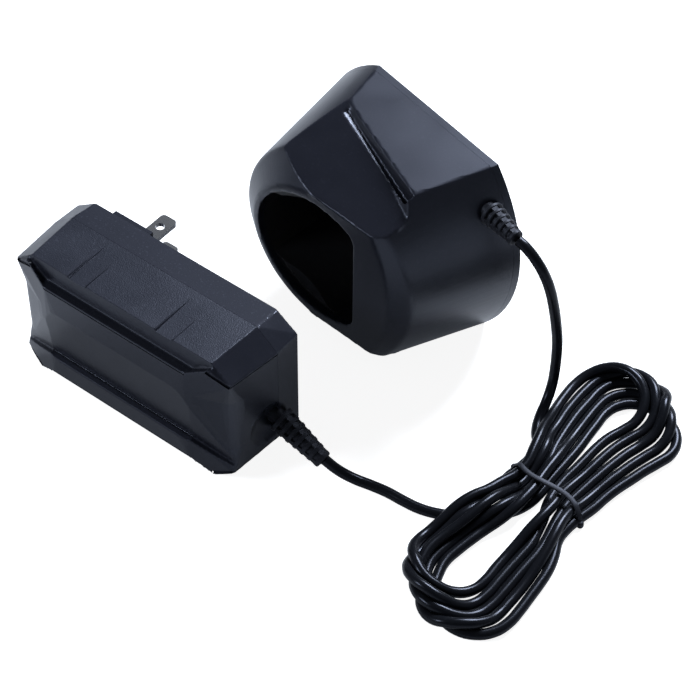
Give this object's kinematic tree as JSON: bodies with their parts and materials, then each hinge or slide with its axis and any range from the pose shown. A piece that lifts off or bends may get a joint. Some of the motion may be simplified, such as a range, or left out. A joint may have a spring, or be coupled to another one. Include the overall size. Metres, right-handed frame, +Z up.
{
  "type": "power tool battery charger",
  "caption": "Cup-shaped battery cradle joined by a tied-up low-voltage cord to a plug-in wall adapter with flat blades.",
  "frame": {"origin": "centre of the two housings' outline on the floor", "axes": "+X along the adapter towards its cord, +Y the way the blades point, +Z up from the floor the charger lies on"},
  "size_m": [0.1969, 0.1294, 0.0867],
  "materials": {
    "black_plastic": "satin",
    "liner_plastic": "matte",
    "rubber": "matte",
    "cord_jacket": "satin",
    "board_green": "satin",
    "steel": "satin",
    "nickel": "polished",
    "brass": "satin",
    "copper": "satin",
    "ferrite": "matte",
    "aluminium": "satin",
    "capacitor_blue": "gloss",
    "fuse_brown": "satin"
  },
  "bodies": {
    "charger": {"cradle_shell": "black_plastic", "cradle_base_cover": "black_plastic", "base_screws": "steel", "rubber_feet": "rubber", "battery_socket": "liner_plastic", "contact_block": "liner_plastic", "contact_pins": "brass", "charge_board": "board_green", "charge_chips": "ferrite", "board_screws": "steel", "cradle_leads": "rubber", "cradle_strain_relief": "rubber", "adapter_front_shell": "black_plastic", "adapter_rear_shell": "black_plastic", "blade_carrier": "black_plastic", "blade_upper": "nickel", "blade_lower": "nickel", "blade_leads": "copper", "power_board": "board_green", "transformer_core": "ferrite", "transformer_winding": "copper", "input_capacitor": "capacitor_blue", "output_capacitor": "capacitor_blue", "filter_choke": "copper", "fuse": "fuse_brown", "heat_sink": "aluminium", "switch_transistor": "ferrite", "rectifier": "ferrite", "output_leads": "rubber", "adapter_strain_relief": "rubber", "cord_cradle_run": "cord_jacket", "cord_adapter_run": "cord_jacket", "cord_hank": "cord_jacket", "hank_tie": "rubber"},
    "positive_leaf": {"contact_positive": "brass"},
    "sense_leaf": {"contact_sense": "brass"},
    "negative_leaf": {"contact_negative": "brass"}
  },
  "joints": [
    {"name": "positive_leaf_flex", "type": "hinge", "parent": "charger", "child": "positive_leaf", "pos_m": [0.01859, 0.03941, 0.03197], "axis": [0.05, -0.0627, 0.9968], "range_deg": [-1, 6], "stiffness_Nm_per_rad": 0.1},
    {"name": "sense_leaf_flex", "type": "hinge", "parent": "charger", "child": "sense_leaf", "pos_m": [0.01903, 0.03884, 0.04094], "axis": [0.05, -0.0627, 0.9968], "range_deg": [-1, 6], "stiffness_Nm_per_rad": 0.1},
    {"name": "negative_leaf_flex", "type": "hinge", "parent": "charger", "child": "negative_leaf", "pos_m": [0.01948, 0.03828, 0.04991], "axis": [0.05, -0.0627, 0.9968], "range_deg": [-1, 6], "stiffness_Nm_per_rad": 0.1}
  ]
}
